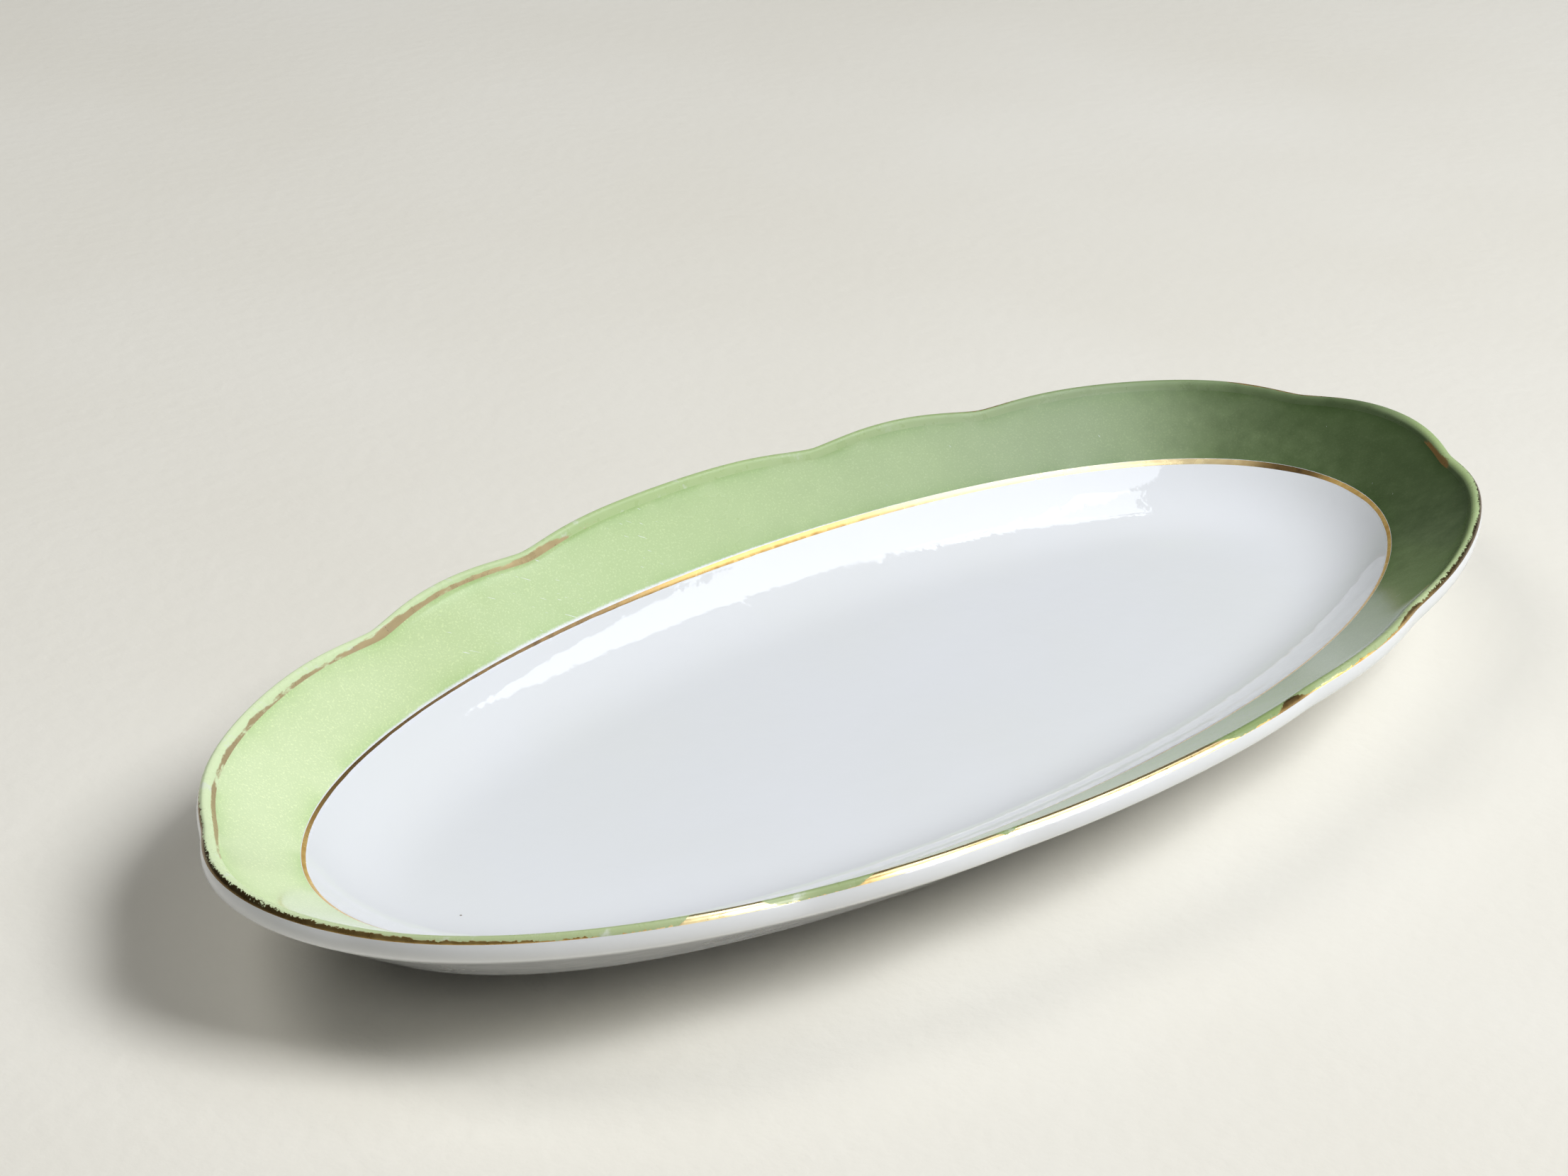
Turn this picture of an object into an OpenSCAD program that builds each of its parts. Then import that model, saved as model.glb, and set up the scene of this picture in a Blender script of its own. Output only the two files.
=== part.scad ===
// Oval serving platter: a glazed body with a shallow well and a flared rim cut in twelve
// scallops, a green band fired on the rim, and gilt on the well's edge and over the lip.
// The long axis lies along X, the short axis along Y, and the foot stands on z = 0.

/* [Plan] */
// Length of the oval that the lobes reach
platter_l = 300; // [260:5:360]
// Width of the oval that the lobes reach
platter_w = 141; // [125:1:200]
// Fullness of the ovals, where 2 is a true ellipse
fullness = 2.06; // [1.95:0.01:2.4]

/* [Heights] */
// Height of the rim's crest above the table
platter_h = 28; // [25:0.5:36]
// Rise of the flared rim from the well's edge to the crest
rim_rise = 12.1; // [9:0.1:14]
// Thickness of the floor
floor_t = 4.6; // [3.6:0.1:6]
// Upright thickness of the shoulder under the well's edge
shoulder_t = 6.2; // [5:0.1:7]

/* [Flared rim] */
// Width of the rim in plan at each end
rim_w_end = 20.5; // [16:0.5:26]
// Width of the rim in plan at each side
rim_w_side = 17.6; // [14:0.1:22]
// Half width of the rolled lip in plan
lip_half_w = 1.5; // [1.2:0.1:2]
// Half height of the rolled lip
lip_half_h = 2.5; // [2:0.1:2.8]

/* [Scalloped edge] */
// Angle from the long axis to the notches beside an end lobe
end_notch_a = 17; // [12:0.5:22]
// Angle from the long axis to the notches between a long lobe and a diagonal lobe
diagonal_notch_a = 57.5; // [50:0.5:62]
// Angle from the long axis to the notches beside a side lobe
side_notch_a = 75; // [70:0.5:80]
// Depth of a notch in plan
notch_depth = 2.3; // [0.5:0.1:3]
// Distance from a notch's middle at which its depth has eased to three fifths
notch_reach = 8.7; // [6:0.1:12]

/* [Well] */
// Width of the coved wall in plan at each end
wall_w_end = 26.5; // [18:0.5:34]
// Width of the coved wall in plan at each side
wall_w_side = 24.9; // [18:0.1:28]

/* [Foot ring] */
// Inset of the foot ring from the rim at each end
foot_inset = 42; // [36:0.5:50]
// Height of the foot ring
foot_h = 2.8; // [1.8:0.1:4]
// Width of the foot ring's bearing face
foot_w = 4.2; // [3:0.1:6]
// Lean of the foot ring's sides
foot_draft = 0.7; // [0.2:0.1:1.5]
// Height of the bare ground edge that stands on the table
bare_h = 0.8; // [0.4:0.1:1.2]

/* [Decoration] */
// Thickness of the green enamel and the gilt
coat_t = 0.15; // [0.1:0.05:0.4]
// Width of the gilt line on the well's edge
gilt_line_w = 0.8; // [0.6:0.1:2]
// Width of the plain gap between the gilt line and the green band
plain_gap_w = 0.5; // [0.3:0.1:2]

/* [Hidden] */
half_l = platter_l/2;
half_w = platter_w/2;

// Steps round the oval, and rows along each stretch of the section
steps = 140;
wall_rows = 5;
band_rows = 3;
lip_rows = 7;
gilt_rows = 4;
shoulder_rows = 2;
under_rows = 5;

// The cove eases into the floor by one power, the underside into the foot by another, and
// each notch runs out along the edge by a third
wall_curve = 3;
under_curve = 2.4;
notch_curve = 1.5;

// The lip's arc runs from the crease on the rim, over the crest, to the underside
lip_start_a = 20;
lip_end_a = 235;

// Levels above the table
floor_z = foot_h + floor_t;
well_edge_z = platter_h - rim_rise;
shoulder_z = well_edge_z - shoulder_t;

// The rim is straight in section from the well's edge up to the crease beside the lip
crease_d = lip_half_w*(1 + cos(lip_start_a));
crease_z = platter_h - lip_half_h*(1 - sin(lip_start_a));
rim_slope = (crease_z - well_edge_z)/(rim_w_end - crease_d);

// Insets of the decoration's edges from the rim's oval
gilt_line_d = rim_w_end - gilt_line_w;
band_d = gilt_line_d - plain_gap_w;

// Insets of the foot ring's four edges
foot_outer_d = foot_inset + foot_draft;
foot_inner_d = foot_outer_d + foot_w;
foot_root_d = foot_inner_d + foot_draft;

// Even steps along the edge: the angle runs faster at the ends than at the sides
even_share = (half_l - half_w)/(half_l + half_w);
function step_angle(i) = let (u = 360*i/steps) u + even_share*sin(2*u)*90/PI;

// Point of an oval with half axes a and b at the angle t
function oval(a, b, t) =
    let (k = pow(pow(abs(cos(t)), fullness) + pow(abs(sin(t)), fullness), -1/fullness))
    [a*cos(t)*k, b*sin(t)*k];

// Inset at the sides that goes with the inset d at the ends
function side_inset(d) = d <= rim_w_end
    ? d*rim_w_side/rim_w_end
    : rim_w_side + (d - rim_w_end)*wall_w_side/wall_w_end;

// Point at the inset d and the level z, at step i round the platter
function place(d, z, i) =
    let (p = oval(half_l - d, half_w - side_inset(d), step_angle(i)))
    [p[0], p[1], z];
function ring(d, z) = [for (i = [0:steps - 1]) place(d, z, i)];

// Twelve notches, the same in each quarter of the edge, part the lobes
notch_angles = [
    for (a = [end_notch_a, diagonal_notch_a, side_notch_a])
        for (b = [a, 180 - a, 180 + a, 360 - a]) b
];
function edge_point(t) = oval(half_l, half_w, t);
function notch_inset(t, n) =
    notch_depth*exp(-pow(norm(edge_point(t) - edge_point(n))/notch_reach, notch_curve)/2);
function total(v) = v*[for (x = v) 1];
edge_insets = [
    for (i = [0:steps - 1]) total([for (n = notch_angles) notch_inset(step_angle(i), n)])
];

// The trimmed edge runs down the rim's slope wherever it is cut in
function rim_z(d) = well_edge_z + rim_slope*(rim_w_end - d);
function lip_angle(row) = lip_start_a + (lip_end_a - lip_start_a)*row/lip_rows;
function lip_point(row, grow, i) = place(
    edge_insets[i] + lip_half_w + (lip_half_w + grow)*cos(lip_angle(row)),
    platter_h - lip_half_h + (lip_half_h + grow)*sin(lip_angle(row)) - rim_slope*edge_insets[i],
    i);
function lip_ring(row, grow) = [for (i = [0:steps - 1]) lip_point(row, grow, i)];

// Ring between the band's inner edge and the crease, at the share v of the way
function band_ring(v) = [
    for (i = [0:steps - 1])
        let (d = band_d + (crease_d + edge_insets[i] - band_d)*v) place(d, rim_z(d), i)
];
function blend(from, to, v) = [for (i = [0:steps - 1]) from[i]*(1 - v) + to[i]*v];
function raised(rings) = [for (r = rings) [for (p = r) p + [0, 0, coat_t]]];
function reversed(v) = [for (j = [len(v) - 1:-1:0]) v[j]];

// Runs of rings that the body and the coats on it share
wall_rings = [
    for (row = [wall_rows:-1:0])
        let (u = row/wall_rows)
            ring(rim_w_end + wall_w_end*u, floor_z + (well_edge_z - floor_z)*pow(1 - u, wall_curve))
];
well_edge_ring = wall_rings[wall_rows];
gilt_line_ring = ring(gilt_line_d, rim_z(gilt_line_d));
band_rings = [
    for (row = [0:band_rows]) row < band_rows ? band_ring(row/band_rows) : lip_ring(0, 0)
];
lip_rings = [for (row = [0:lip_rows]) lip_ring(row, 0)];
shoulder_ring = ring(rim_w_end, shoulder_z);
shoulder_rings = [
    for (row = [1:shoulder_rows]) blend(lip_rings[lip_rows], shoulder_ring, row/shoulder_rows)
];
under_rings = [
    for (row = [1:under_rows])
        let (u = row/under_rows)
            ring(rim_w_end + (foot_inset - rim_w_end)*u,
                foot_h + (shoulder_z - foot_h)*pow(1 - u, under_curve))
];
foot_rings = [
    ring(foot_outer_d, bare_h),
    ring(foot_inner_d, bare_h),
    ring(foot_root_d, foot_h)
];

// Two triangles a step between the rings numbered j and k, which meet on the line from
// step i of the first ring to the next step of the second, or crosswise where turned
function strip(j, k, turned = false) = [
    for (i = [0:steps - 1])
        let (n = (i + 1)%steps, a = j*steps + i, b = j*steps + n, c = k*steps + n, d = k*steps + i)
            each turned ? [[a, b, d], [b, c, d]] : [[a, b, c], [a, c, d]]
];

// Solid between a first and a last ring, each closed by a flat face
module capped_loft(rings) {
    last = len(rings) - 1;
    sides = [for (j = [0:last - 1]) each strip(j, j + 1)];
    first_cap = [for (i = [steps - 1:-1:0]) i];
    last_cap = [for (i = [0:steps - 1]) last*steps + i];
    polyhedron(points = [for (r = rings) each r], faces = concat(sides, [first_cap], [last_cap]));
}

// Solid hoop over a run of rings and back along a second run. The way back is turned, so
// that its triangles are those of the body that it lies on.
module hoop_loft(over, under) {
    rings = concat(over, reversed(under));
    count = len(rings);
    polyhedron(
        points = [for (r = rings) each r],
        faces = [for (j = [0:count - 1]) each strip(j, (j + 1)%count, j >= len(over))]);
}

// Coat on a run of the body's rings
module coat(rings) {
    hoop_loft(raised(rings), rings);
}

module dish_body() {
    color("#f3f4f1")
        capped_loft(concat(
            wall_rings,
            [gilt_line_ring],
            band_rings,
            [for (row = [1:lip_rows]) lip_rings[row]],
            shoulder_rings,
            under_rings,
            foot_rings));
}

module foot_outline(d) {
    polygon([for (p = ring(d, 0)) [p[0], p[1]]]);
}

module foot_bare_edge() {
    color("#cfc3ad")
        linear_extrude(height = bare_h)
            difference() {
                foot_outline(foot_outer_d);
                foot_outline(foot_inner_d);
            }
}

module green_band() {
    color("#bfd8a6")
        coat(band_rings);
}

module well_gilt_line() {
    color("#b98d3e")
        coat([well_edge_ring, gilt_line_ring]);
}

module edge_gilt() {
    color("#a8843f")
        hoop_loft(
            [for (row = [0:gilt_rows]) lip_ring(row, coat_t)],
            [for (row = [0:gilt_rows]) lip_rings[row]]);
}

dish_body();
foot_bare_edge();
green_band();
well_gilt_line();
edge_gilt();
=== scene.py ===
"""Oval serving platter with a scalloped rim, a green band and worn gilt.

The glazed body and the coats on it are lofted through one run of section rows, so that
every coat lies on the same surface as the body. Lengths are in millimetres up to the
meshes, which are in metres, as are the materials, the table and the lights.
"""

import math

import bpy
import numpy as np
from mathutils import Matrix, Quaternion, Vector


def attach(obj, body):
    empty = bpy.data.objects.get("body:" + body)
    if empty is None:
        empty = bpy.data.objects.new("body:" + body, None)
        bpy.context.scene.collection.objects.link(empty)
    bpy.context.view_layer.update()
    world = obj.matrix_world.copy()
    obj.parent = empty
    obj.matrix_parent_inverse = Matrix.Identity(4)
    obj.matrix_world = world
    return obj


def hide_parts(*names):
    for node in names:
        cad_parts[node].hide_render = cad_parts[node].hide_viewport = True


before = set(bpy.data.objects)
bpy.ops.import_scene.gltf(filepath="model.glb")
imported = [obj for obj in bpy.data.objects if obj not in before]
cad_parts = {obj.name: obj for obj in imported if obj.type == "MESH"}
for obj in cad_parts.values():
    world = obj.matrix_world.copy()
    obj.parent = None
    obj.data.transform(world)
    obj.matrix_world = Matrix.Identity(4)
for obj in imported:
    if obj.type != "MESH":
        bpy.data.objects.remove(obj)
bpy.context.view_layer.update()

MM = 0.001

# Sizes of the platter. Insets and widths are those at its ends, unless they say side.
PLATTER_L = 300.0
PLATTER_W = 141.0
PLATTER_H = 28.0
FULLNESS = 2.06
RIM_RISE = 12.1
RIM_W_END = 20.5
RIM_W_SIDE = 17.6
LIP_HALF_W = 1.5
LIP_HALF_H = 2.5
LIP_START_A = 20.0
LIP_END_A = 235.0
NOTCH_ANGLES = (17.0, 57.5, 75.0)
NOTCH_DEPTH = 2.3
NOTCH_REACH = 8.7
NOTCH_CURVE = 1.5
WALL_W_END = 26.5
WALL_W_SIDE = 24.9
WALL_CURVE = 3.0
FLOOR_T = 4.6
SHOULDER_T = 6.2
UNDER_CURVE = 2.4
FOOT_INSET = 42.0
FOOT_H = 2.8
FOOT_W = 4.2
FOOT_DRAFT = 0.7
BARE_H = 0.8
BARE_EASE = 0.25
BARE_CORNER_SHARE = 0.3
GILT_LINE_W = 0.8
PLAIN_GAP_W = 0.5

# What follows from the sizes: half axes, levels above the table, and insets
HALF_L = PLATTER_L / 2
HALF_W = PLATTER_W / 2
FLOOR_Z = FOOT_H + FLOOR_T
WELL_EDGE_Z = PLATTER_H - RIM_RISE
SHOULDER_Z = WELL_EDGE_Z - SHOULDER_T
FLOOR_D = RIM_W_END + WALL_W_END
LINE_D = RIM_W_END - GILT_LINE_W
BAND_D = LINE_D - PLAIN_GAP_W
FOOT_OUTER_D = FOOT_INSET + FOOT_DRAFT
FOOT_INNER_D = FOOT_OUTER_D + FOOT_W
FOOT_ROOT_D = FOOT_INNER_D + FOOT_DRAFT

# The rim is straight in section up to the crease beside the lip
CREASE_D = LIP_HALF_W * (1 + math.cos(math.radians(LIP_START_A)))
CREASE_Z = PLATTER_H - LIP_HALF_H * (1 - math.sin(math.radians(LIP_START_A)))
RIM_SLOPE = (CREASE_Z - WELL_EDGE_Z) / (RIM_W_END - CREASE_D)

# Steps round the platter, rows along each stretch of its section, and rows of the lip that
# the gilt's coat covers
STEPS = 560
FLOOR_ROWS = 10
WALL_ROWS = 40
LINE_ROWS = 6
GAP_ROWS = 3
BAND_ROWS = 36
LIP_ROWS = 28
SHOULDER_ROWS = 24
UNDER_ROWS = 30
FOOT_ROWS = 6
MIDDLE_ROWS = 8
LIP_GILT_ROWS = 16

# Width of the level rings in the well and under the foot, inside which one face closes
FLOOR_RINGS_W = 25.0
MIDDLE_RINGS_W = 12.0

# How far the section's corners are softened, and the rows beside the crease that are
# softened further
SMOOTHING_PASSES = 5
CREASE_PASSES = 14
CREASE_REACH = 12

# The coats stand this far proud of the glaze, and their edges sink into it
COAT_RAISE = 0.05
COAT_SINK = 0.04

# The camera, from the photograph: focal length in pixels, direction, roll, distance, and
# the pixel where the middle of the rim's crest plane lies
IMAGE_W = 2212.0
IMAGE_H = 1659.0
FOCAL_PX = 4586.0
CAMERA_AZIMUTH = -44.0
CAMERA_ELEVATION = 26.97
CAMERA_ROLL = 2.3
CAMERA_DISTANCE = 602.8
CREST_CENTRE_PX = (1275.8, 860.7)
SENSOR_W = 36.0


# Plan of the platter

def step_angles(steps):
    """Angles round the oval that space its points evenly along the edge."""
    u = np.arange(steps) * 2 * np.pi / steps
    even_share = (HALF_L - HALF_W) / (HALF_L + HALF_W)
    return u + even_share * np.sin(2 * u) / 2


def oval(a, b, t):
    """Points of an oval with half axes a and b at the angles t."""
    c, s = np.cos(t), np.sin(t)
    k = (np.abs(c) ** FULLNESS + np.abs(s) ** FULLNESS) ** (-1 / FULLNESS)
    return np.stack([a * c * k, b * s * k], axis=-1)


def side_inset(d):
    """Inset at the sides that goes with the inset d at the ends."""
    beyond = RIM_W_SIDE + (d - RIM_W_END) * WALL_W_SIDE / WALL_W_END
    return np.where(d <= RIM_W_END, d * RIM_W_SIDE / RIM_W_END, beyond)


def notches():
    """Angles of the twelve notches, which are the same in each quarter."""
    for degrees in NOTCH_ANGLES:
        a = math.radians(degrees)
        yield from (a, math.pi - a, math.pi + a, -a)


def edge_distances(t, middle):
    """How far the edge's points at the angles t lie from its point at one angle."""
    there = oval(HALF_L, HALF_W, np.array([middle]))
    return np.linalg.norm(oval(HALF_L, HALF_W, t) - there, axis=1)


def edge_insets(t):
    """How far the notches draw the edge in at the angles t."""
    inset = np.zeros(len(t))
    for notch in notches():
        share = (edge_distances(t, notch) / NOTCH_REACH) ** NOTCH_CURVE
        inset += NOTCH_DEPTH * np.exp(-0.5 * share)
    return inset


T = step_angles(STEPS)
INSET = edge_insets(T)


# Section of the platter: every row is a ring of insets from the rim's oval and heights

def level_row(d, z):
    """Row at one inset and one height."""
    return np.full(STEPS, float(d)), np.full(STEPS, float(z))


def wall_row(u):
    """Row on the coved wall, at the share u of the way from the well's edge inwards."""
    return level_row(RIM_W_END + WALL_W_END * u,
                     FLOOR_Z + (WELL_EDGE_Z - FLOOR_Z) * (1 - u) ** WALL_CURVE)


def rim_row(d):
    """Row on the straight part of the rim."""
    return level_row(d, WELL_EDGE_Z + RIM_SLOPE * (RIM_W_END - d))


def lip_row(degrees):
    """Row on the rolled lip at an angle of its round section."""
    a = math.radians(degrees)
    d = INSET + LIP_HALF_W * (1 + math.cos(a))
    z = PLATTER_H - LIP_HALF_H * (1 - math.sin(a)) - RIM_SLOPE * INSET
    return d, z


def under_row(u):
    """Row under the shoulder, at the share u of the way to the foot ring."""
    return level_row(RIM_W_END + (FOOT_INSET - RIM_W_END) * u,
                     FOOT_H + (SHOULDER_Z - FOOT_H) * (1 - u) ** UNDER_CURVE)


def shares(count, start=1):
    """Even shares of a way that is gone in so many steps."""
    return [k / count for k in range(start, count + 1)]


def between(first, last, places):
    """Rows at shares of the way from one row to another."""
    return [tuple(a * (1 - v) + b * v for a, b in zip(first, last)) for v in places]


class Section:
    """Rows from the middle of the well over the lip to the middle of the underside."""

    def __init__(self):
        self.rows = []
        self.marks = {}

    def add(self, rows, mark=None):
        """Adds rows, the last of which may be marked by a name."""
        self.rows.extend(rows)
        if mark:
            self.marks[mark] = len(self.rows) - 1

    @staticmethod
    def soften(d, z, first, last, passes):
        """Rounds the corners of the rows between two rows, which stay where they are."""
        for _ in range(passes):
            for v in (d[first:last], z[first:last]):
                v[1:-1] = (v[:-2] + 2 * v[1:-1] + v[2:]) / 4

    def points(self):
        """Ring points in millimetres and their insets, with the corners softened."""
        d = np.array([row[0] for row in self.rows])
        z = np.array([row[1] for row in self.rows])
        crease = self.marks["crease"]
        self.soften(d, z, 0, len(d), SMOOTHING_PASSES)
        self.soften(d, z, crease - CREASE_REACH, crease + CREASE_REACH, CREASE_PASSES)
        plan = oval(HALF_L - d, HALF_W - side_inset(d), T[None, :])
        return np.concatenate([plan, z[..., None]], axis=-1), d


def build_section():
    """The platter's section, with marks at the rows that the coats start and end at."""
    s = Section()
    well_middle = level_row(FLOOR_D + FLOOR_RINGS_W, FLOOR_Z)
    s.add(between(well_middle, level_row(FLOOR_D, FLOOR_Z), shares(FLOOR_ROWS, 0)))
    s.add([wall_row(1 - v) for v in shares(WALL_ROWS)], "well_edge")
    s.add(between(rim_row(RIM_W_END), rim_row(LINE_D), shares(LINE_ROWS)), "line_edge")
    s.add(between(rim_row(LINE_D), rim_row(BAND_D), shares(GAP_ROWS)))
    s.add(between(rim_row(BAND_D), lip_row(LIP_START_A), shares(BAND_ROWS)), "crease")
    turn = LIP_END_A - LIP_START_A
    s.add([lip_row(LIP_START_A + turn * v) for v in shares(LIP_ROWS)])
    shoulder = level_row(RIM_W_END, SHOULDER_Z)
    s.add(between(lip_row(LIP_END_A), shoulder, shares(SHOULDER_ROWS)))
    s.add([under_row(v) for v in shares(UNDER_ROWS)])
    outer_root = level_row(FOOT_INSET, FOOT_H)
    outer = level_row(FOOT_OUTER_D, BARE_H)
    inner = level_row(FOOT_INNER_D, BARE_H)
    inner_root = level_row(FOOT_ROOT_D, FOOT_H)
    s.add(between(outer_root, outer, shares(FOOT_ROWS)))
    s.add(between(outer, inner, shares(FOOT_ROWS)))
    s.add(between(inner, inner_root, shares(FOOT_ROWS)))
    foot_middle = level_row(FOOT_ROOT_D + MIDDLE_RINGS_W, FOOT_H)
    s.add(between(inner_root, foot_middle, shares(MIDDLE_ROWS)))
    return s


SECTION = build_section()
GRID, GRID_D = SECTION.points()


def grid_normals(grid):
    """Outward normals at the points of a grid of rows and steps."""
    along = np.gradient(grid, axis=0)
    around = np.roll(grid, -1, axis=1) - np.roll(grid, 1, axis=1)
    n = np.cross(along, around)
    return n / np.linalg.norm(n, axis=2, keepdims=True)


NORMALS = grid_normals(GRID)


def edge_places():
    """Where each step lies on a circle as long as the crease, in millimetres."""
    crease = GRID[SECTION.marks["crease"]]
    along = np.cumsum(np.linalg.norm(np.diff(crease, axis=0), axis=1))
    along = np.concatenate([[0.0], along])
    length = along[-1] + np.linalg.norm(crease[0] - crease[-1])
    turn = 2 * np.pi * along / length
    radius = length / (2 * np.pi)
    return radius * np.cos(turn), radius * np.sin(turn)


def row_places(first, last, slant=0.0):
    """Texture places of the rows first to last: round the edge and across it, seamless.

    A slant moves them round the edge by so many millimetres for each one across.
    """
    x, y = edge_places()
    across = np.linalg.norm(np.diff(GRID[first:last + 1], axis=0), axis=2)
    across = np.concatenate([np.zeros((1, STEPS)), np.cumsum(across, axis=0)])
    radius = math.hypot(x[0], y[0])
    turn = np.arctan2(y, x) + across * slant / radius
    return np.stack([radius * np.cos(turn), radius * np.sin(turn), across], axis=-1)


# Meshes

def grid_faces(rows, closed):
    """Quads of a grid of rings, and from the last ring back to the first where closed."""
    j = np.arange(rows if closed else rows - 1)
    i = np.arange(STEPS)
    jj, ii = np.meshgrid(j, i, indexing="ij")
    nj, ni = (jj + 1) % rows, (ii + 1) % STEPS
    corners = (jj * STEPS + ii, nj * STEPS + ii, nj * STEPS + ni, jj * STEPS + ni)
    return np.stack(corners, axis=-1).reshape(-1, 4).tolist()


def add_values(mesh, name, values):
    """Stores a number or a vector a point, which the materials read as an attribute."""
    vector = values.ndim == 3
    kind, key = ("FLOAT_VECTOR", "vector") if vector else ("FLOAT", "value")
    attribute = mesh.attributes.new(name, kind, "POINT")
    attribute.data.foreach_set(key, values.astype(np.float32).ravel())


def sharpen_rings(mesh, rings):
    """Keeps the shading on each side of some of the rings apart."""
    ends = np.empty(2 * len(mesh.edges), dtype=np.int32)
    mesh.edges.foreach_get("vertices", ends)
    rows = ends.reshape(-1, 2) // STEPS
    sharp = (rows[:, 0] == rows[:, 1]) & np.isin(rows[:, 0], rings)
    attribute = mesh.attributes.new("sharp_edge", "BOOLEAN", "EDGE")
    attribute.data.foreach_set("value", sharp)


def make_piece(name, grid, faces, values_by_name, material, node, sharp_rings=()):
    """Mesh piece on the root body that stands for one node of the frame."""
    mesh = bpy.data.meshes.new(name)
    mesh.from_pydata((grid.reshape(-1, 3) * MM).tolist(), [], faces)
    for key, values in values_by_name.items():
        add_values(mesh, key, values)
    mesh.shade_smooth()
    sharpen_rings(mesh, sharp_rings)
    mesh.materials.append(material)
    piece = bpy.data.objects.new(name, mesh)
    bpy.context.scene.collection.objects.link(piece)
    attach(piece, "root")
    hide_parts(node)


def coat_grid(first, last, free):
    """Closed skin over the body's rows first to last.

    Its first and last edges come down to the glaze where they are free, and otherwise stay
    level with the coat beside them.
    """
    rows = GRID[first:last + 1]
    normals = NORMALS[first:last + 1]
    top = rows + normals * COAT_RAISE
    for edge, is_free in zip((0, -1), free):
        if is_free:
            top[edge] = rows[edge]
    under = (rows - normals * COAT_SINK)[::-1]
    return np.concatenate([top, under])


# Materials

# Middle part of a noise's values, which span spreads out
NOISE_MIDDLE = (0.3, 0.7)

# A colour mix node's factor and two colours among its inputs, and its colour output
MIX_INPUTS = (0, 6, 7)
MIX_OUTPUT = 2


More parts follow.
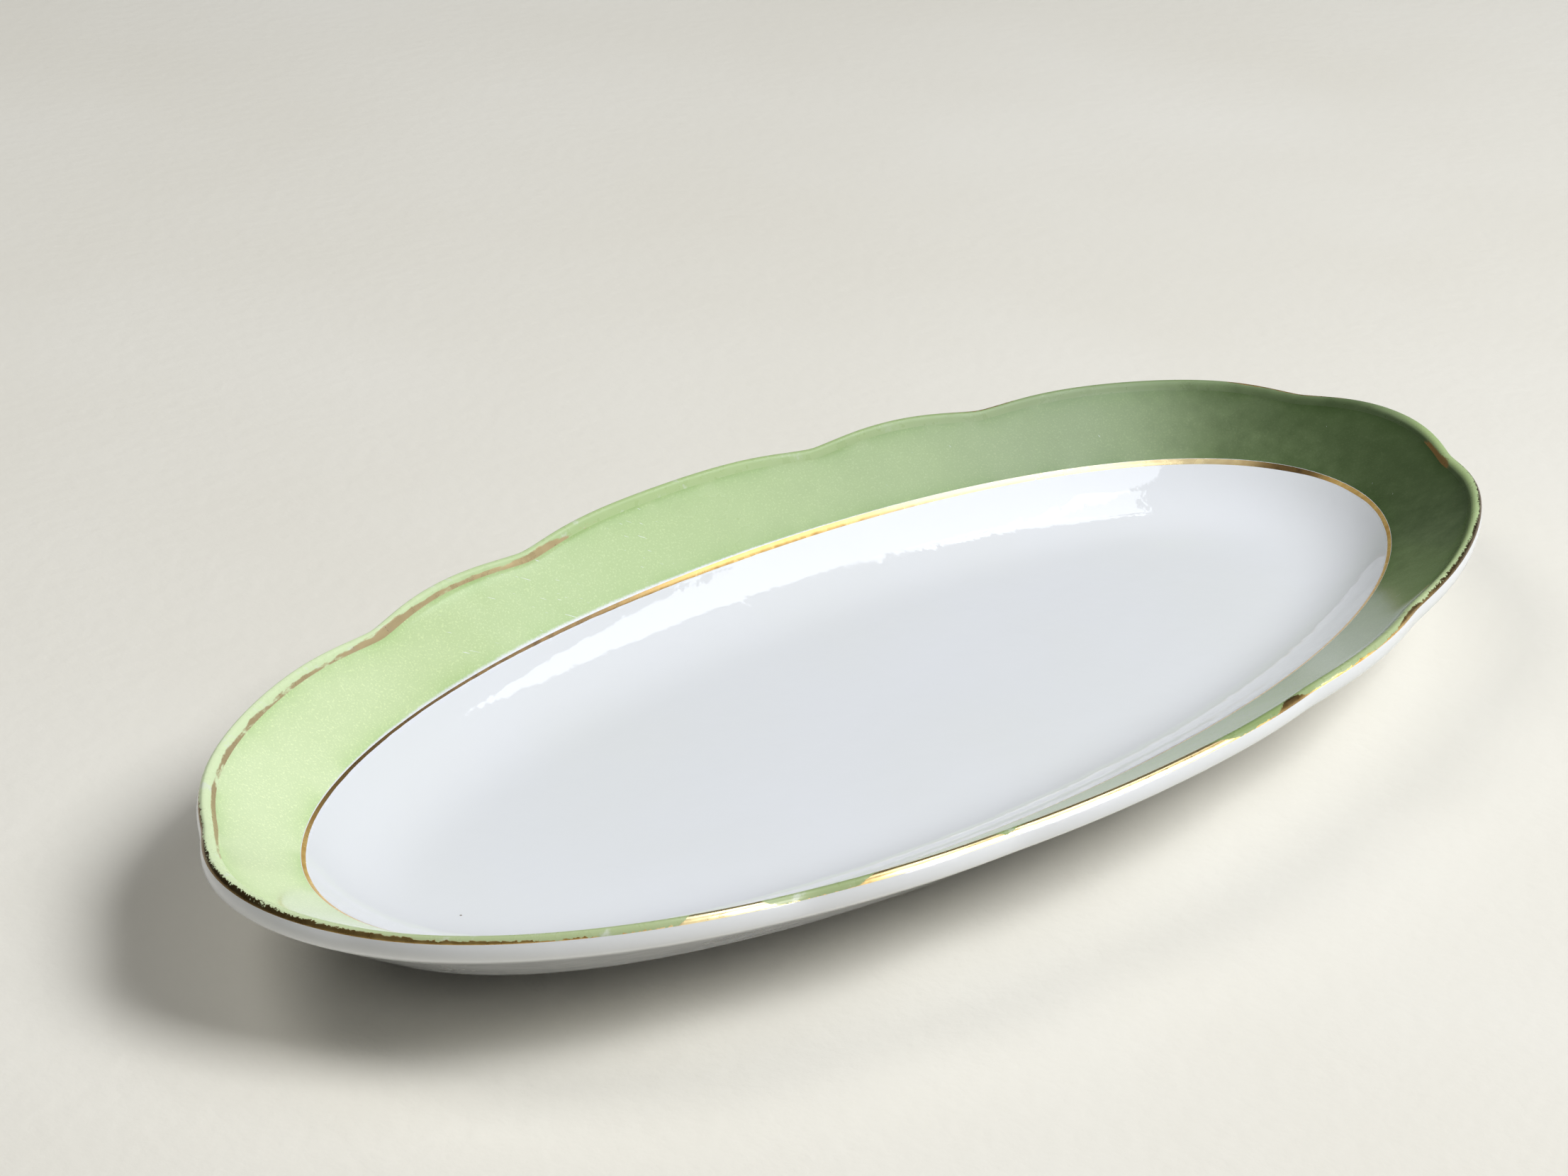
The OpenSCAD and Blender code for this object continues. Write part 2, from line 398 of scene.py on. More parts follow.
class Look:
    """One node material, with short ways to add and join nodes."""

    def __init__(self, name):
        self.material = bpy.data.materials.new(name)
        self.material.use_nodes = True
        tree = self.material.node_tree
        self.nodes = tree.nodes
        self.links = tree.links
        self.shader = tree.nodes["Principled BSDF"]
        self.object_place = self.nodes.new("ShaderNodeTexCoord").outputs["Object"]

    def put(self, socket, value):
        """Sets a socket to a number or colour, or joins it to another node's output."""
        if isinstance(value, (int, float)):
            socket.default_value = value
        elif isinstance(value, tuple):
            four = len(socket.default_value) == 4
            socket.default_value = (*value, 1.0) if four else value
        else:
            self.links.new(value, socket)

    def set(self, **values):
        """Sets sockets of the shader, whose names are given with _ for each space."""
        for name, value in values.items():
            self.put(self.shader.inputs[name.replace("_", " ")], value)

    def attribute(self, name, kind="Fac"):
        """Value that the mesh stores under a name."""
        node = self.nodes.new("ShaderNodeAttribute")
        node.attribute_name = name
        return node.outputs[kind]

    def noise(self, scale, detail=3.0, roughness=0.5, place=None, stretch=(1, 1, 1)):
        """Noise with a scale in features a unit of the place, by default a metre."""
        mapping = self.nodes.new("ShaderNodeMapping")
        mapping.inputs["Scale"].default_value = stretch
        self.links.new(place or self.object_place, mapping.inputs["Vector"])
        texture = self.nodes.new("ShaderNodeTexNoise")
        texture.inputs["Scale"].default_value = scale
        texture.inputs["Detail"].default_value = detail
        texture.inputs["Roughness"].default_value = roughness
        self.links.new(mapping.outputs["Vector"], texture.inputs["Vector"])
        return texture.outputs["Fac"]

    def specks(self, cell, size, chance):
        """Sparse round specks: cell and size in metres, chance as a share of the cells."""
        texture = self.nodes.new("ShaderNodeTexVoronoi")
        texture.inputs["Scale"].default_value = 1 / cell
        self.links.new(self.object_place, texture.inputs["Vector"])
        pick = self.nodes.new("ShaderNodeSeparateColor")
        self.links.new(texture.outputs["Color"], pick.inputs["Color"])
        near = self.calc("LESS_THAN", texture.outputs["Distance"], size / cell)
        picked = self.calc("LESS_THAN", pick.outputs["Red"], chance)
        return self.calc("MULTIPLY", near, picked)

    def calc(self, operation, a, b=0.0):
        """Result of one of the math node's operations on two values."""
        node = self.nodes.new("ShaderNodeMath")
        node.operation = operation
        self.put(node.inputs[0], a)
        self.put(node.inputs[1], b)
        return node.outputs["Value"]

    def total(self, *terms):
        """Sum of outputs, or of (output, factor) pairs."""
        result = 0.0
        for term in terms:
            value = self.calc("MULTIPLY", *term) if isinstance(term, tuple) else term
            result = self.calc("ADD", value, result)
        return result

    def map_range(self, source, source_ends, value_ends, smooth=False):
        """Value that goes between its two ends as the source goes between its own."""
        node = self.nodes.new("ShaderNodeMapRange")
        if smooth:
            node.interpolation_type = "SMOOTHSTEP"
        node.inputs["From Min"].default_value = source_ends[0]
        node.inputs["From Max"].default_value = source_ends[1]
        node.inputs["To Min"].default_value = value_ends[0]
        node.inputs["To Max"].default_value = value_ends[1]
        self.links.new(source, node.inputs["Value"])
        return node.outputs["Result"]

    def rise(self, source, low, high):
        """Smooth rise from 0 to 1 between low and high, or a fall where low is more."""
        value_ends = (float(low > high), float(low < high))
        return self.map_range(source, sorted((low, high)), value_ends, smooth=True)

    def span(self, source, low, high):
        """Plain spread of a noise's middle part between two numbers."""
        return self.map_range(source, NOISE_MIDDLE, (low, high))

    def mix(self, factor, a, b, blend="MIX"):
        """Colour that goes from a to b, or to a times b, as the factor goes from 0 to 1."""
        node = self.nodes.new("ShaderNodeMix")
        node.data_type = "RGBA"
        node.blend_type = blend
        for index, value in zip(MIX_INPUTS, (factor, a, b)):
            self.put(node.inputs[index], value)
        return node.outputs[MIX_OUTPUT]

    def bump(self, *layers):
        """Normal bent by (height, distance in metres) layers, each laid on the last."""
        normal = None
        for height, distance in layers:
            node = self.nodes.new("ShaderNodeBump")
            node.inputs["Distance"].default_value = distance
            self.links.new(height, node.inputs["Height"])
            if normal:
                self.links.new(normal, node.inputs["Normal"])
            normal = node.outputs["Normal"]
        self.put(self.shader.inputs["Normal"], normal)


WHITE_GLAZE = (0.795, 0.812, 0.845)
WHITE_GLAZE_WARM = (0.785, 0.802, 0.81)
SPECK = (0.16, 0.11, 0.07)
# The greens go from pale to deep along a painted shade, darker towards the +X end and its
# near side
GREEN_LIGHTEST = (0.735, 0.855, 0.535)
GREEN_MIDDLE = (0.43, 0.562, 0.256)
GREEN_SHADED = (0.225, 0.30, 0.146)
GREEN_DEEP_SHADE = (0.060, 0.090, 0.036)
EDGE_DARK_TINT = (0.72, 0.83, 0.62)
GRAIN_TINT = (1.20, 1.15, 1.20)
NEAR_SHADE_TINT = (0.62, 0.635, 0.54)
GOLD = (0.97, 0.67, 0.24)
GOLD_HIGHLIGHT = (1.0, 0.90, 0.58)
GOLD_BROWN = (0.78, 0.46, 0.13)
GOLD_DARK_REFLECTION = (0.12, 0.07, 0.028)
GOLD_BLACK_REFLECTION = (0.07, 0.045, 0.02)
GILT_WORN = (0.52, 0.36, 0.19)
GILT_SHADED = (0.32, 0.18, 0.06)
BISCUIT = (0.62, 0.55, 0.44)
BISCUIT_DARK = (0.50, 0.43, 0.33)
TABLE_PALE = (0.84, 0.815, 0.74)
TABLE_DARK = (0.80, 0.77, 0.685)

# Depths of the painted shade between which one green goes over into the next, and those
# between which the lip's enamel goes from its shaded end's look to its pale end's
TO_GREEN_MIDDLE = (0.0, 0.44)
TO_GREEN_SHADED = (0.40, 0.86)
TO_GREEN_DEEP_SHADE = (0.80, 0.98)
PALE_END = (0.75, 0.35)

# How far the green's tone drifts with the cloudy noise and with the mottled one, and how
# much paler the lip's enamel gets towards its outer edge and where its crest is paler
CLOUD = (-0.022, 0.022)
MOTTLE = (-0.012, 0.012)
LIP_PALES_OUTWARD = -0.12
CREST_PALES = -0.55

# The band: values between which the darker stretches at its edges break up, grain shows,
# spray fades out and scratches show, and weights of what they follow
EDGE_DARK_BREAKS = (0.30, 0.60)
GRAIN_SHOWS = (0.50, 0.74)
SPRAY_FADES = (1.75, 0.85)
SCRATCH_SHOWS = (0.82, 0.85)
EDGE_DARK_WEIGHT = 0.8
DOT_WEIGHT = 0.9
DRIFT_WEIGHT = 0.5
SCUFF_WEIGHT = 0.10

# The gold line: values between which it wears off and ends, how far its edge wavers, and
# how evenly the painted dark reflection darkens it
LINE_WEARS = (0.68, 0.71)
LINE_ENDS = (0.25, 0.19)
WAVER_WEIGHT = 0.5
DARK_REFLECTION_SPAN = (0.8, 1.0)

# The lip: shares of the way over it up to which gilt is kept by the crease and at a notch,
# and from which its enamel is paler at the crest
BY_CREASE = (0.34, 0.10)
BY_NOTCH = (0.60, 0.30)
CREST_PALE_FROM = (0.10, 0.40)

# The lip: values between which thin gilt, thick gilt and bare glaze show, how far flakes
# move the edge of the gilt where a dark reflection is painted, and weights of what they
# follow
THIN_SHOWS = (0.72, 0.86)
THICK_SHOWS = (1.33, 1.36)
GLAZE_SHOWS = (0.56, 0.70)
FLAKES = (-0.16, 0.16)
CREASE_WEIGHT = 0.36
NOTCH_WEIGHT = 0.38
STREAK_WEIGHT = 0.45
RAGGED_WEIGHT = 0.25
GLAZE_WEIGHT = 0.45
THIN_WEIGHT = 0.85

# Refraction, and roughness from the smoothest to the roughest places
GLAZE_IOR = 1.52
ENAMEL_IOR = 1.48
GLAZE_ROUGHNESS = (0.02, 0.045)
ENAMEL_ROUGHNESS = (0.08, 0.12)
SATIN_ROUGHNESS = 0.20
LINE_ROUGHNESS = (0.20, 0.30)
LIP_ROUGHNESS = (0.24, 0.36)
BISCUIT_ROUGHNESS = (0.78, 0.92)
TABLE_ROUGHNESS = 0.75

# How metallic the gold line is, and the gilt of the lip where it is thick and where thin
LINE_METAL = 0.45
THICK_METAL = 0.9
THIN_METAL = 0.30

# Heights of the bumps in metres
GLAZE_SWELL = 0.00024
GLAZE_RIPPLE = 0.00006
LIP_RIPPLE = 0.00003
ENAMEL_SWELL = 0.00020
ENAMEL_GRAIN = 0.000006
GILT_STEP = 0.000008
BISCUIT_GRAIN = 0.00004
TABLE_GRAIN = 0.0002

# Kiln specks as (cell, size, chance), and how strongly they show in the glaze
GLAZE_SPECKS = [(0.012, 0.00022, 0.10), (0.031, 0.00035, 0.08)]
ENAMEL_SPECKS = (0.022, 0.0003, 0.10)
GLAZE_SPECK_SHOWS = 0.75


def slow_swell(look):
    """Noise of a surface that was dipped by hand and ran a little."""
    return look.noise(scale=32.0, detail=2.0)


def glaze_swell(look, ripple=GLAZE_RIPPLE):
    """Slow swell and fine ripple of a hand-dipped glaze, as bump layers."""
    return (slow_swell(look), GLAZE_SWELL), (look.noise(scale=190.0), ripple)


def white_glaze_material():
    """White glaze with a warmer cast in places, kiln specks and an uneven gloss."""
    look = Look("white_glaze")
    cast = look.span(look.noise(scale=18.0, detail=4.0), 0.0, 1.0)
    colour = look.mix(cast, WHITE_GLAZE, WHITE_GLAZE_WARM)
    speck = look.total(*(look.specks(*sort) for sort in GLAZE_SPECKS))
    colour = look.mix(look.calc("MULTIPLY", speck, GLAZE_SPECK_SHOWS), colour, SPECK)
    smear = look.span(look.noise(scale=70.0, detail=5.0, roughness=0.6), *GLAZE_ROUGHNESS)
    look.set(Base_Color=colour, Roughness=smear, IOR=GLAZE_IOR)
    look.bump(*glaze_swell(look))
    return look.material


def enamel_colour(look, extra):
    """Green darkened by a painted shade, which deepens from one end to the other."""
    cloud = look.span(look.noise(scale=26.0, detail=2.0), *CLOUD)
    mottle = look.span(look.noise(scale=260.0, roughness=0.6), *MOTTLE)
    shade_and_mottle = look.total(look.attribute("painted_shade_depth"), cloud, mottle, extra)
    colour = look.mix(look.rise(shade_and_mottle, *TO_GREEN_MIDDLE), GREEN_LIGHTEST, GREEN_MIDDLE)
    colour = look.mix(look.rise(shade_and_mottle, *TO_GREEN_SHADED), colour, GREEN_SHADED)
    return look.mix(look.rise(shade_and_mottle, *TO_GREEN_DEEP_SHADE), colour, GREEN_DEEP_SHADE)


def green_enamel_material():
    """Enamel that is a little darker at both edges of the band, with specks and scratches.
    """
    look = Look("green_enamel")
    # Darker green along the gold line and beside the crease under the lip, broken up by
    # noise
    uneven = look.rise(look.noise(scale=75.0), *EDGE_DARK_BREAKS)
    edge_darkened = look.calc("MULTIPLY", look.attribute("edge_darkening"), uneven)
    edge_darkened = look.calc("MULTIPLY", edge_darkened, EDGE_DARK_WEIGHT)
    colour = look.mix(edge_darkened, enamel_colour(look, 0.0), EDGE_DARK_TINT, "MULTIPLY")
    grain = look.noise(scale=2600.0, detail=2.0)
    colour = look.mix(look.rise(grain, *GRAIN_SHOWS), colour, GRAIN_TINT, "MULTIPLY")
    dots = look.noise(scale=1500.0, detail=4.0, roughness=0.7)
    drift = look.noise(scale=90.0, detail=2.0)
    spray = look.total(look.attribute("fade"), (dots, DOT_WEIGHT), (drift, DRIFT_WEIGHT))
    colour = look.mix(look.rise(spray, *SPRAY_FADES), colour, WHITE_GLAZE)
    slant = look.attribute("slant", "Vector")
    stroke = look.noise(scale=1.0, detail=1.0, place=slant, stretch=(3.0, 3.0, 0.5))
    scuffed = look.calc("MULTIPLY", look.attribute("scuffed"), SCUFF_WEIGHT)
    scratch = look.calc("ADD", stroke, scuffed)
    colour = look.mix(look.rise(scratch, *SCRATCH_SHOWS), colour, WHITE_GLAZE)
    colour = look.mix(look.specks(*ENAMEL_SPECKS), colour, SPECK)
    smear = look.span(look.noise(scale=55.0, detail=4.0), *ENAMEL_ROUGHNESS)
    dimmed = look.total(smear, (look.attribute("satin"), SATIN_ROUGHNESS))
    look.set(Base_Color=colour, Roughness=dimmed, IOR=ENAMEL_IOR)
    look.bump((slow_swell(look), ENAMEL_SWELL), (grain, ENAMEL_GRAIN))
    return look.material


def gold_colour(look, tone):
    """Gold that is browner here and there, and pale where a highlight is painted on it."""
    gold = look.mix(look.span(tone, 0.0, 1.0), GOLD_BROWN, GOLD)
    # Painted highlight: pale gold where the gold would mirror the window
    return look.mix(look.attribute("painted_highlight"), gold, GOLD_HIGHLIGHT)


def line_gold_material():
    """Hand-drawn gold line, whose edge towards the band wavers."""
    look = Look("line_gold")
    tone = look.noise(scale=500.0, detail=4.0)
    waver = look.noise(scale=60.0, detail=4.0, roughness=0.6)
    drawn = look.total(look.attribute("drawn"), (waver, WAVER_WEIGHT))
    # Painted dark reflection: the gold is darkened along two stretches where it mirrors the
    # dim room
    line_dark_reflection = look.calc("MULTIPLY", look.attribute("line_dark_reflection"), look.span(tone, *DARK_REFLECTION_SPAN))
    colour = look.mix(line_dark_reflection, gold_colour(look, tone), GOLD_DARK_REFLECTION)
    worn = look.rise(look.noise(scale=180.0, detail=5.0, roughness=0.65), *LINE_WEARS)
    bare = look.calc("MAXIMUM", worn, look.rise(drawn, *LINE_ENDS))
    look.set(Base_Color=look.mix(bare, colour, WHITE_GLAZE),
             Metallic=look.calc("MULTIPLY", look.rise(bare, 1.0, 0.0), LINE_METAL),
             Roughness=look.span(tone, *LINE_ROUGHNESS))
    look.bump(*glaze_swell(look))
    return look.material


def lip_gold_material():
    """Gilt rubbed off the lip's crest, down to the green and in places the white."""
    look = Look("lip_gold")
    place = look.attribute("place", "Vector")
    share = look.attribute("share")

    # Thin gilt beside the crease and at the notches
    streak = look.noise(scale=0.30, detail=6.0, roughness=0.66, place=place,
                        stretch=(0.5, 0.5, 1.8))
    inner = look.calc("MULTIPLY", look.attribute("kept"), look.rise(share, *BY_CREASE))
    patch = look.calc("MULTIPLY", look.attribute("patch"), look.rise(share, *BY_NOTCH))
    thin = look.total((inner, CREASE_WEIGHT), (patch, NOTCH_WEIGHT), streak)
    thin = look.rise(thin, *THIN_SHOWS)

    # Thick gilt outside the crest, with ragged edges and flakes
    ragged = look.noise(scale=1.3, roughness=0.6, place=place)
    flaked = look.noise(scale=2.4, detail=4.0, roughness=0.7, place=place)
    flaked = look.span(flaked, *FLAKES)
    reach = look.total(share, (streak, STREAK_WEIGHT), (ragged, RAGGED_WEIGHT),
                       look.attribute("outer"), (flaked, look.attribute("lip_dark_reflection")))
    thick = look.rise(reach, *THICK_SHOWS)

    # Enamel under the gilt, paler outwards and at the near right crest, rubbed to the glaze
    # here and there
    paled_crest = look.calc("MULTIPLY", look.attribute("pale"), look.rise(share, *CREST_PALE_FROM))
    colour = enamel_colour(look, look.total((share, LIP_PALES_OUTWARD), (paled_crest, CREST_PALES)))
    # Painted shade: the lip's enamel is dulled to olive along its near side
    colour = look.mix(look.attribute("near_shade"), colour, NEAR_SHADE_TINT, "MULTIPLY")
    # Painted shade: towards the lip's shaded end its thin gilt is darker and less bare
    # glaze shows
    pale_end = look.rise(look.attribute("painted_shade_depth"), *PALE_END)
    bare = look.noise(scale=0.30, detail=5.0, roughness=0.6, place=place)
    bare = look.calc("MULTIPLY", look.rise(bare, *GLAZE_SHOWS),
                     look.calc("MULTIPLY", pale_end, GLAZE_WEIGHT))
    colour = look.mix(bare, colour, WHITE_GLAZE_WARM)

    # Gilt over the enamel
    gilt = look.mix(pale_end, GILT_SHADED, GILT_WORN)
    colour = look.mix(look.calc("MULTIPLY", thin, THIN_WEIGHT), colour, gilt)
    tone = look.noise(scale=450.0, detail=4.0)
    # Painted dark reflection: the thick gilt is near black along stretches where it mirrors
    # the dim room
    gold = look.mix(look.attribute("lip_dark_reflection"), gold_colour(look, tone), GOLD_BLACK_REFLECTION)
    colour = look.mix(thick, colour, gold)
    metal = look.calc("MAXIMUM", look.calc("MULTIPLY", thin, THIN_METAL),
                      look.calc("MULTIPLY", thick, THICK_METAL))
    look.set(Base_Color=colour, Metallic=metal, Roughness=look.span(tone, *LIP_ROUGHNESS))
    look.bump(*glaze_swell(look, LIP_RIPPLE), (thick, GILT_STEP))
    return look.material


def biscuit_material():
    """Bare fired clay, ground flat."""
    look = Look("bare_biscuit")
    tone = look.span(look.noise(scale=420.0, detail=5.0), 0.0, 1.0)
    look.set(Base_Color=look.mix(tone, BISCUIT_DARK, BISCUIT),
             Roughness=look.span(look.noise(scale=900.0), *BISCUIT_ROUGHNESS))
    look.bump((look.noise(scale=2600.0), BISCUIT_GRAIN))
    return look.material


def table_material():
    """Pale table top with a faint mottle."""
    look = Look("pale_floor")
    tone = look.span(look.noise(scale=7.0, detail=5.0), 0.0, 1.0)
    look.set(Base_Color=look.mix(tone, TABLE_DARK, TABLE_PALE), Roughness=TABLE_ROUGHNESS)
    look.bump((look.noise(scale=260.0, detail=4.0), TABLE_GRAIN))
    return look.material


# Stretches round the rim, as (how much, angle of the oval, spread, sharpness of the ends)

# The band fades in over a width in millimetres that grows on the far side, where the enamel
# is scuffed in three places and its gloss is softer. Its scratches run round the edge by so
# many millimetres for each one across.
FADE_W = 0.10
FADE_WIDENS = [(0.80, 112, 30, 2)]
BAND_SCUFFED = [(1.0, 107, 5, 4), (0.8, 94, 3, 4), (0.6, 118, 3, 4)]
BAND_SATIN = [(1.0, 55, 50, 4)]
SCRATCH_SLANT = -1.0

# The gold line's width in millimetres, where it grows and shrinks, and where a dark
# reflection and a highlight are painted on it
LINE_W = 0.75
LINE_WIDENS = [(0.45, 50, 50, 4), (-0.22, 126, 26, 4)]
LINE_DARK_REFLECTION = [(1.0, 125, 30, 6), (1.0, 11, 8, 4)]
LINE_HIGHLIGHT = [(0.6, 44, 27, 6)]

# The lip's gilt: where it is kept outside the crest, where a dark reflection and where a
# highlight are painted on it, and where it is kept by the crease and at the notches
LIP_GILT_KEPT = [
    (0.40, 19, 12, 6), (0.36, 57, 5, 4), (0.24, 185, 28, 4), (0.84, 231.3, 3.0, 8),
    (0.76, 248, 5.4, 8), (0.64, 264, 9.6, 8), (0.45, 282, 1.6, 4), (0.08, 291, 7, 4),
    (0.30, 300.5, 3, 4), (0.30, 325, 22, 6),
]
LIP_GILT_DARK_REFLECTION = [(0.85, 172, 24, 4), (0.7, 282, 2.5, 4), (0.9, 325, 27, 8)]
LIP_GILT_HIGHLIGHT = [(0.7, 231, 5, 4), (0.5, 258, 17, 6)]
CREASE_GILT_KEPT = [(1.0, 126, 30, 8), (0.74, 162, 20, 6), (1.0, 346, 6, 4)]
NOTCH_GILT_KEPT = [(1.0, 125, 42, 8), (0.6, 343, 5, 4)]

# The lip's enamel: where painted shade dulls it to olive on the near side, and where its
# crest is paler
LIP_NEAR_SHADE = [(1.0, 250, 60, 6)]
LIP_PALE = [(1.0, 320, 38, 6)]

# The gilt patch at a notch lies so many degrees past it and is so many millimetres wide
PATCH_PAST_A = 0.8
PATCH_W = 6.5

# Widths in millimetres of the darker stretches at the band's two edges, and where painted
# shade is deepest
EDGE_DARK_BY_LINE_W = 1.8
EDGE_DARK_BY_CREASE_W = 2.0
SHADE_AZIMUTH = -12.0


def bell(degrees, spread, power):
    """Bell round the rim with its middle at an angle of the oval."""
    off = (np.degrees(T) - degrees + 180.0) % 360.0 - 180.0
    return np.exp(-(np.abs(off) / spread) ** power)


def summed(stretches, start=0.0):
    """Value round the rim: a start value, and what each of some stretches adds to it."""
    return sum((much * bell(*where) for much, *where in stretches), start)


def highest(stretches):
    """Value round the rim: at every angle the highest of some stretches."""
    return np.maximum.reduce([much * bell(*where) for much, *where in stretches])


def painted_shade_depth(rows):
    """Painted shade on the green enamel, which deepens towards one end and its near side.
    """
    a = math.radians(SHADE_AZIMUTH)
    return 0.5 + (rows[..., 0] * math.cos(a) + rows[..., 1] * math.sin(a)) / PLATTER_L


def notch_patches():
    """Where the gilt is kept in broad patches, which is just past each notch."""
    found = np.zeros(STEPS)
    for notch in notches():
        past = notch - math.radians(PATCH_PAST_A)
        found += np.exp(-((edge_distances(T, past) / PATCH_W) ** 2))
    return found


# Pieces of the platter

def make_body():
    """Glazed body through every row, closed by one face in the well and one below."""
    rows = len(GRID)
    faces = grid_faces(rows, False)
    faces.append(list(range(STEPS)))
    faces.append([(rows - 1) * STEPS + i for i in reversed(range(STEPS))])
    make_piece("glazed_body", GRID, faces, {}, white_glaze_material(),
               "dish_body")


def make_coat(name, first, last, free, values_by_name, material, node):
    """Coat over the body's rows first to last.

    Its look reads the values, which are a number or a vector a point, or a number a step.
    """
    grid = coat_grid(first, last, free)
    faces = grid_faces(len(grid), True)
    top_edges = (0, last - first)
    count = last - first + 1
    values = {key: v if v.ndim > 1 else np.broadcast_to(v, (count, STEPS))
              for key, v in values_by_name.items()}
    values["place"] = row_places(first, last)
    doubled = {key: np.concatenate([v, v[::-1]]) for key, v in values.items()}
    make_piece(name, grid, faces, doubled, material, node, top_edges)


def make_band():
    """Band that starts at the gold line, but fades in further up on the far side."""
    first, last = SECTION.marks["line_edge"], SECTION.marks["crease"]
    from_line = GRID_D[first] - GRID_D[first:last + 1]
    to_crease = GRID_D[first:last + 1] - GRID_D[last]
    values = {
        "fade": from_line / summed(FADE_WIDENS, FADE_W),
        "edge_darkening": np.exp(-from_line / EDGE_DARK_BY_LINE_W) + np.exp(-to_crease / EDGE_DARK_BY_CREASE_W),
        "painted_shade_depth": painted_shade_depth(GRID[first:last + 1]),
        "scuffed": summed(BAND_SCUFFED),
        "satin": summed(BAND_SATIN),
        "slant": row_places(first, last, SCRATCH_SLANT),
    }
    make_coat("green_enamel_band", first, last, (False, False), values,
              green_enamel_material(), "green_band")


def make_line():
    """Gold line, broad on the far side, with a dark reflection painted along two stretches
    and a highlight painted on the far side.
    """
    first, last = SECTION.marks["well_edge"], SECTION.marks["line_edge"]
    to_band = GRID_D[first:last + 1] - GRID_D[last]
    values = {
        "line_dark_reflection": summed(LINE_DARK_REFLECTION),
        "drawn": summed(LINE_WIDENS, LINE_W) - to_band,
        "painted_highlight": summed(LINE_HIGHLIGHT),
    }
    make_coat("well_gold_line", first, last, (True, False), values,
              line_gold_material(), "well_gilt_line")


def make_lip_gold():
    """Coat over the lip, on which gilt and bare enamel take turns."""
    first = SECTION.marks["crease"]
    last = first + LIP_GILT_ROWS
    share = np.linspace(0, 1, LIP_GILT_ROWS + 1)
    values = {
        "share": np.repeat(share[:, None], STEPS, axis=1),
        "painted_shade_depth": painted_shade_depth(GRID[first:last + 1]),
        "patch": notch_patches() * highest(NOTCH_GILT_KEPT),
        "outer": highest(LIP_GILT_KEPT),
        "lip_dark_reflection": highest(LIP_GILT_DARK_REFLECTION),
        "kept": highest(CREASE_GILT_KEPT),
        "painted_highlight": highest(LIP_GILT_HIGHLIGHT),
        "near_shade": highest(LIP_NEAR_SHADE),
        "pale": highest(LIP_PALE),
    }
    make_coat("lip_gold", first, last, (False, True), values,
              lip_gold_material(), "edge_gilt")


def make_foot_edge():
    """Bare ring with eased edges, from the glaze down to the table."""
    corner = BARE_EASE * BARE_CORNER_SHARE
    outer = [
        (FOOT_OUTER_D, BARE_H), (FOOT_OUTER_D, BARE_EASE),
        (FOOT_OUTER_D + corner, corner), (FOOT_OUTER_D + BARE_EASE, 0.0),
    ]
    inner = [
        (FOOT_INNER_D - BARE_EASE, 0.0), (FOOT_INNER_D - corner, corner),
        (FOOT_INNER_D, BARE_EASE), (FOOT_INNER_D, BARE_H),
    ]
    rings = []
    for d, z in outer + inner:
        plan = oval(HALF_L - d, HALF_W - side_inset(d), T)
        rings.append(np.concatenate([plan, np.full((STEPS, 1), z)], axis=1))
    make_piece("foot_biscuit_edge", np.array(rings), grid_faces(len(rings), True), {},
               biscuit_material(), "foot_bare_edge")


make_body()
make_band()
make_line()
make_lip_gold()
make_foot_edge()


# Table, light and camera

# Half the table top's side in metres
TABLE_HALF = 4.0

# The dim room's light
ROOM_COLOUR = (0.84, 0.90, 1.0)
ROOM_STRENGTH = 0.045

# Lights: direction in degrees, distance and size in metres, and how many degrees each is
# turned about its own middle. The window's head and side finish the outline of its
# reflection. They and the sill light show only in reflections, and the high light and the
# back light show in none.
WINDOW = {"radiance": 3.4, "colour": (0.90, 0.94, 1.0)}
LIGHTS = {
    "window": dict(azimuth=-42, elevation=55.5, distance=1.8, size=(1.48, 0.64), **WINDOW),
    "window_head": dict(azimuth=-11.3, elevation=62.8, distance=1.884, size=(0.85, 0.21),
                        turn=-18.7, lit=False, **WINDOW),
    "window_side": dict(azimuth=8.0, elevation=56.0, distance=2.029, size=(0.39, 0.12),
                        lit=False, **WINDOW),
    "sill_light": dict(azimuth=-62, elevation=15, distance=1.8, size=(1.0, 0.9),
                       radiance=14.0, colour=(1.0, 0.98, 0.92), lit=False),
    "high_light": dict(azimuth=-61, elevation=50, distance=1.8, size=(0.8, 0.8),
                       radiance=12.2, colour=(0.98, 0.985, 1.0), mirrored=False),
    "back_light": dict(azimuth=125, elevation=55, distance=1.8, size=(0.8, 0.8),
                       radiance=4.2, colour=(1.0, 0.985, 0.95), mirrored=False),
}


def make_floor():
    """Plain table top that the platter stands on."""
    mesh = bpy.data.meshes.new("floor")
    half = TABLE_HALF
    corners = [(-half, -half, 0), (half, -half, 0), (half, half, 0), (-half, half, 0)]
    mesh.from_pydata(corners, [], [(0, 1, 2, 3)])
    mesh.materials.append(table_material())
    floor = bpy.data.objects.new("floor", mesh)
    bpy.context.scene.collection.objects.link(floor)


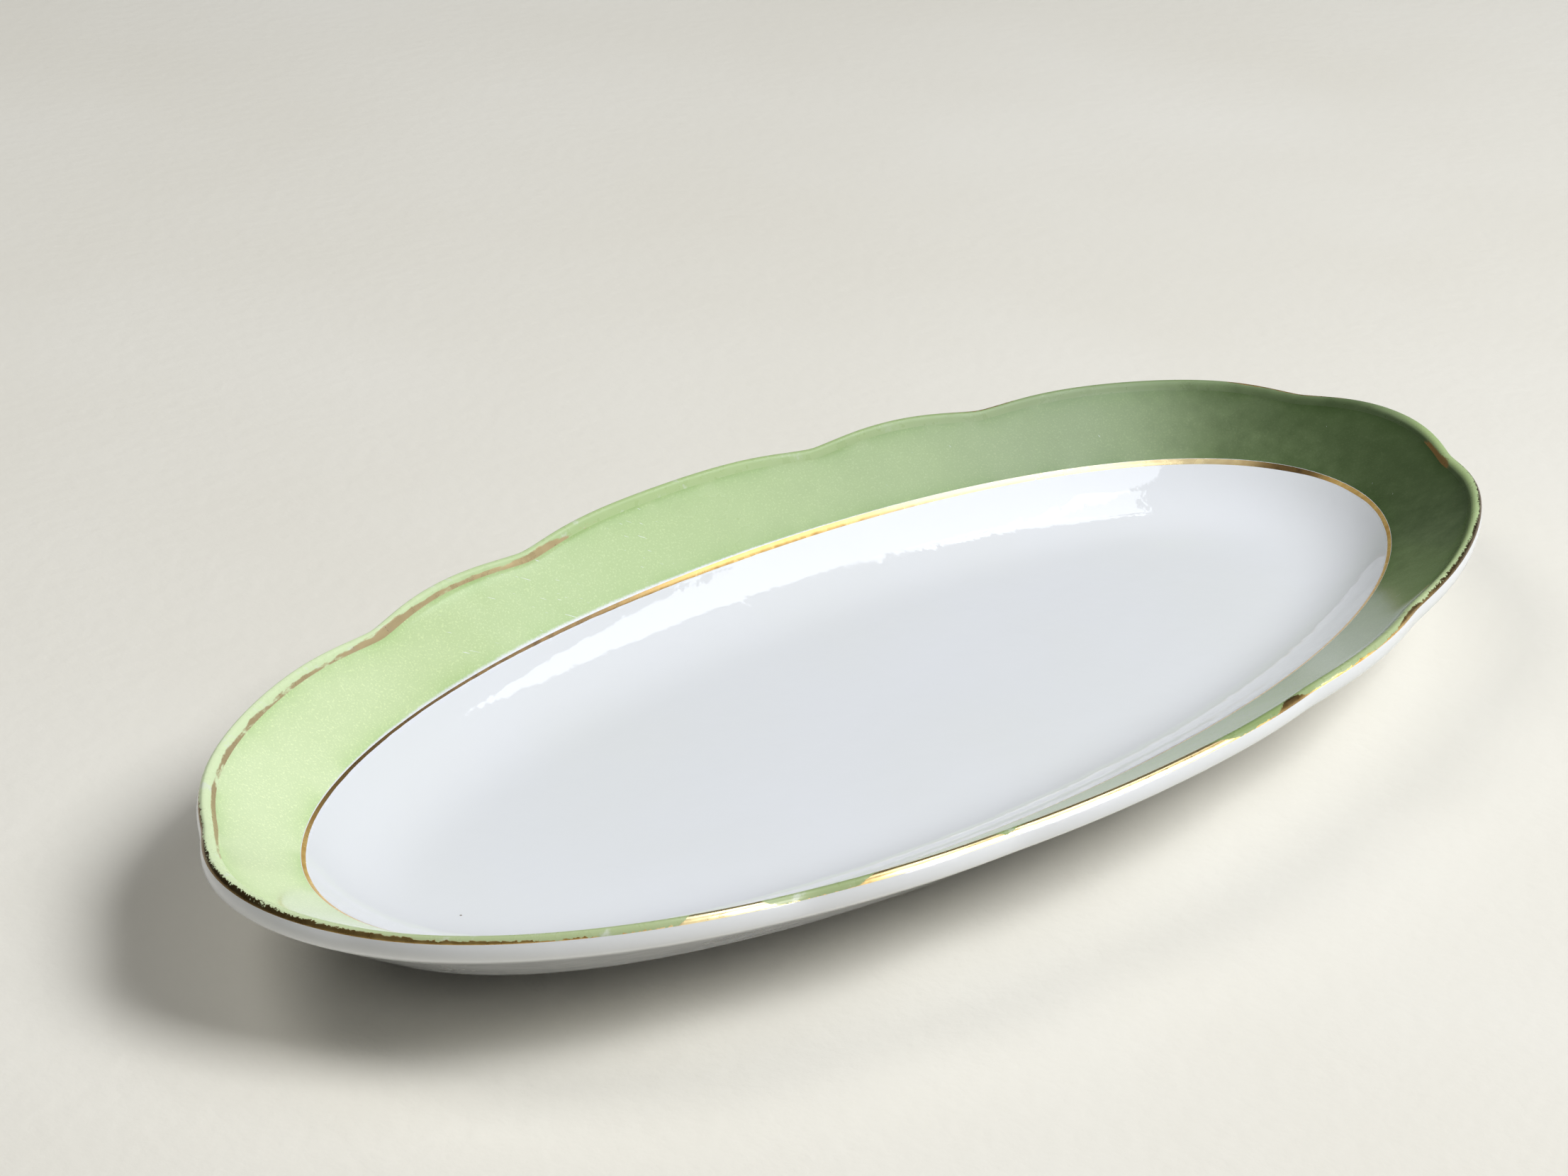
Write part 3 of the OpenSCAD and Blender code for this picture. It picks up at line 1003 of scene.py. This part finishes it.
def add_area(name, azimuth, elevation, distance, size, radiance, colour,
             mirrored=True, lit=True, turn=0.0):
    """Rectangular light towards the platter, for reflections, plain light or both."""
    a, e = math.radians(azimuth), math.radians(elevation)
    direction = Vector((math.cos(a) * math.cos(e), math.sin(a) * math.cos(e), math.sin(e)))
    light = bpy.data.lights.new(name, "AREA")
    light.shape = "RECTANGLE"
    light.size, light.size_y = size
    light.energy = radiance * math.pi * size[0] * size[1]
    light.color = colour
    lamp = bpy.data.objects.new(name, light)
    lamp.location = direction * distance
    roll = Quaternion((0.0, 0.0, 1.0), math.radians(turn))
    lamp.rotation_euler = (direction.to_track_quat("Z", "Y") @ roll).to_euler()
    lamp.visible_glossy = mirrored
    lamp.visible_diffuse = lit
    lamp.visible_camera = False
    bpy.context.scene.collection.objects.link(lamp)


def make_light():
    """A dim room and its lights: the window to the camera's right, and softer ones."""
    world = bpy.data.worlds.new("soft_room")
    world.use_nodes = True
    background = world.node_tree.nodes["Background"]
    background.inputs["Color"].default_value = (*ROOM_COLOUR, 1.0)
    background.inputs["Strength"].default_value = ROOM_STRENGTH
    bpy.context.scene.world = world
    for name, values in LIGHTS.items():
        add_area(name, **values)
    bpy.context.scene.view_settings.view_transform = "Standard"


def make_camera():
    """Camera at the photograph's viewing angle, worked out from the fitted values."""
    a, e, r = (math.radians(v) for v in (CAMERA_AZIMUTH, CAMERA_ELEVATION, CAMERA_ROLL))
    back = Vector((math.sin(a) * math.cos(e), -math.cos(a) * math.cos(e), math.sin(e)))
    level = Vector((math.cos(a), math.sin(a), 0.0))
    upward = back.cross(level)
    right = level * math.cos(r) + upward * math.sin(r)
    up = upward * math.cos(r) - level * math.sin(r)
    across = (CREST_CENTRE_PX[0] - IMAGE_W / 2) / FOCAL_PX * CAMERA_DISTANCE
    down = (CREST_CENTRE_PX[1] - IMAGE_H / 2) / FOCAL_PX * CAMERA_DISTANCE
    crest_centre = Vector((0.0, 0.0, PLATTER_H))
    location = crest_centre + back * CAMERA_DISTANCE - right * across + up * down
    data = bpy.data.cameras.new("camera")
    data.sensor_width = SENSOR_W
    data.lens = FOCAL_PX / IMAGE_W * SENSOR_W
    camera = bpy.data.objects.new("camera", data)
    turn = Matrix((right, up, back)).transposed().to_4x4()
    camera.matrix_world = Matrix.Translation(location * MM) @ turn
    bpy.context.scene.collection.objects.link(camera)
    bpy.context.scene.camera = camera


make_floor()
make_light()
make_camera()
